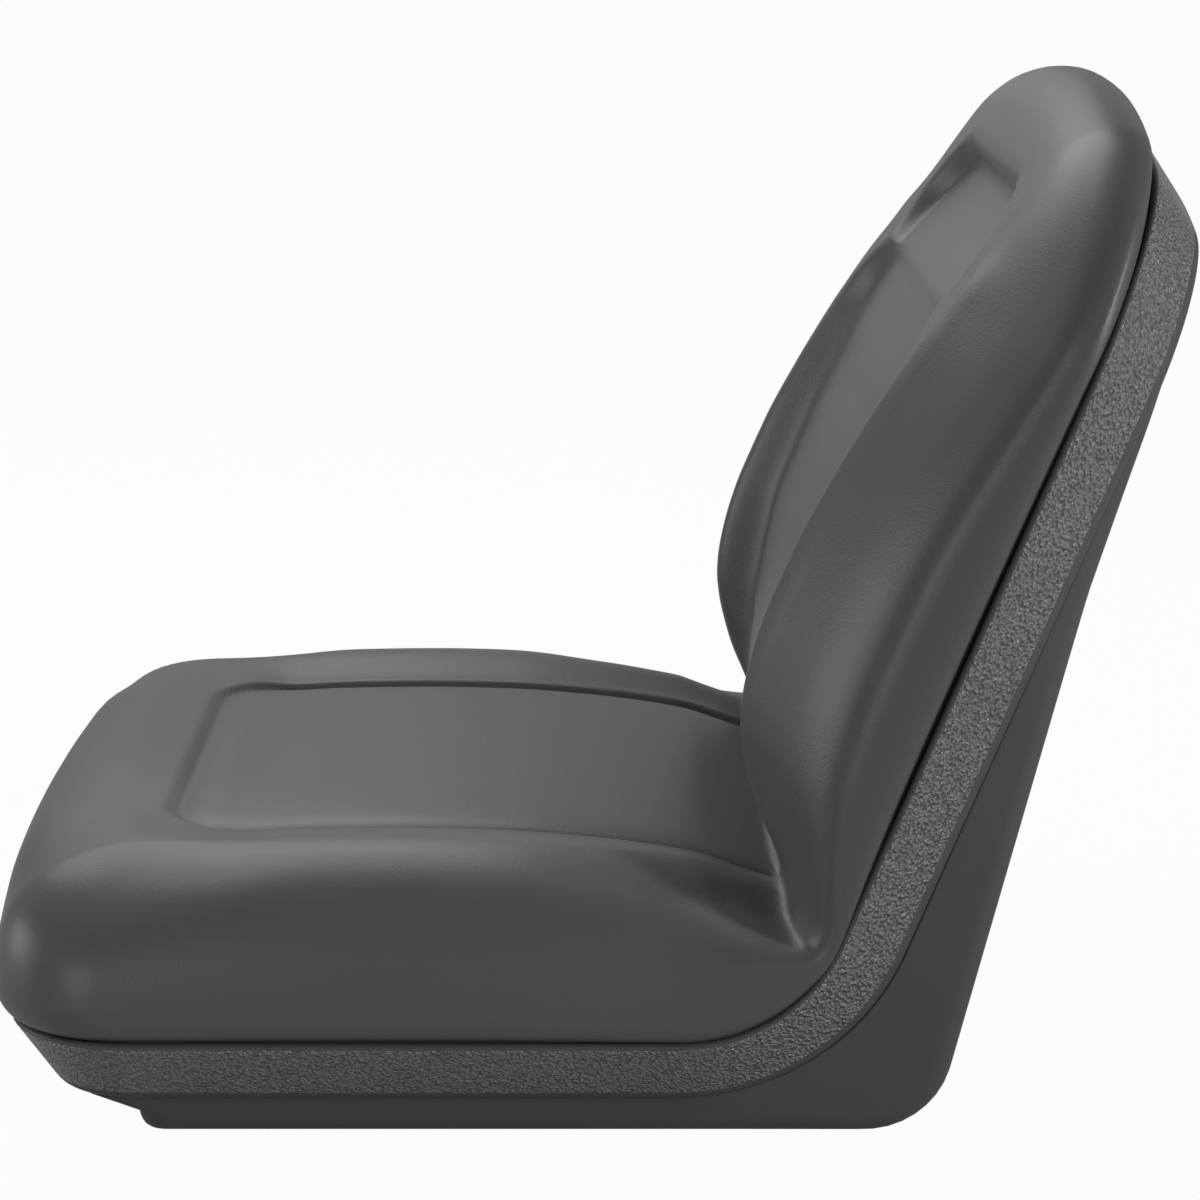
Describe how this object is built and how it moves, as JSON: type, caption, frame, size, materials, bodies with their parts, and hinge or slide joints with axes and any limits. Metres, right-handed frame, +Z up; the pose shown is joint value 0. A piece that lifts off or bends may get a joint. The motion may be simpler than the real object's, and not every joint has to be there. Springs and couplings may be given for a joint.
{
  "type": "ride-on mower seat",
  "caption": "High-back ride-on mower seat: bent moulded cushion with side bolsters and back wings in a hollow L-shaped plastic pan with threaded inserts under the base.",
  "frame": {"origin": "centre of the long mounting pattern, on the base plane", "axes": "+Z up, the seat faces -Y, +X to the operator's left; the back leans towards +Y"},
  "size_m": [0.488, 0.5554, 0.4593],
  "materials": {
    "pan_plastic": "black moulded polyethylene, pebbled band under the rim",
    "cushion_vinyl": "black vinyl with a fine leather grain, satin",
    "insert_steel": "zinc-plated steel"
  },
  "bodies": {
    "root": {"seat_pan": "pan_plastic", "seat_cushion": "cushion_vinyl", "threaded_inserts": "insert_steel"}
  },
  "joints": []
}
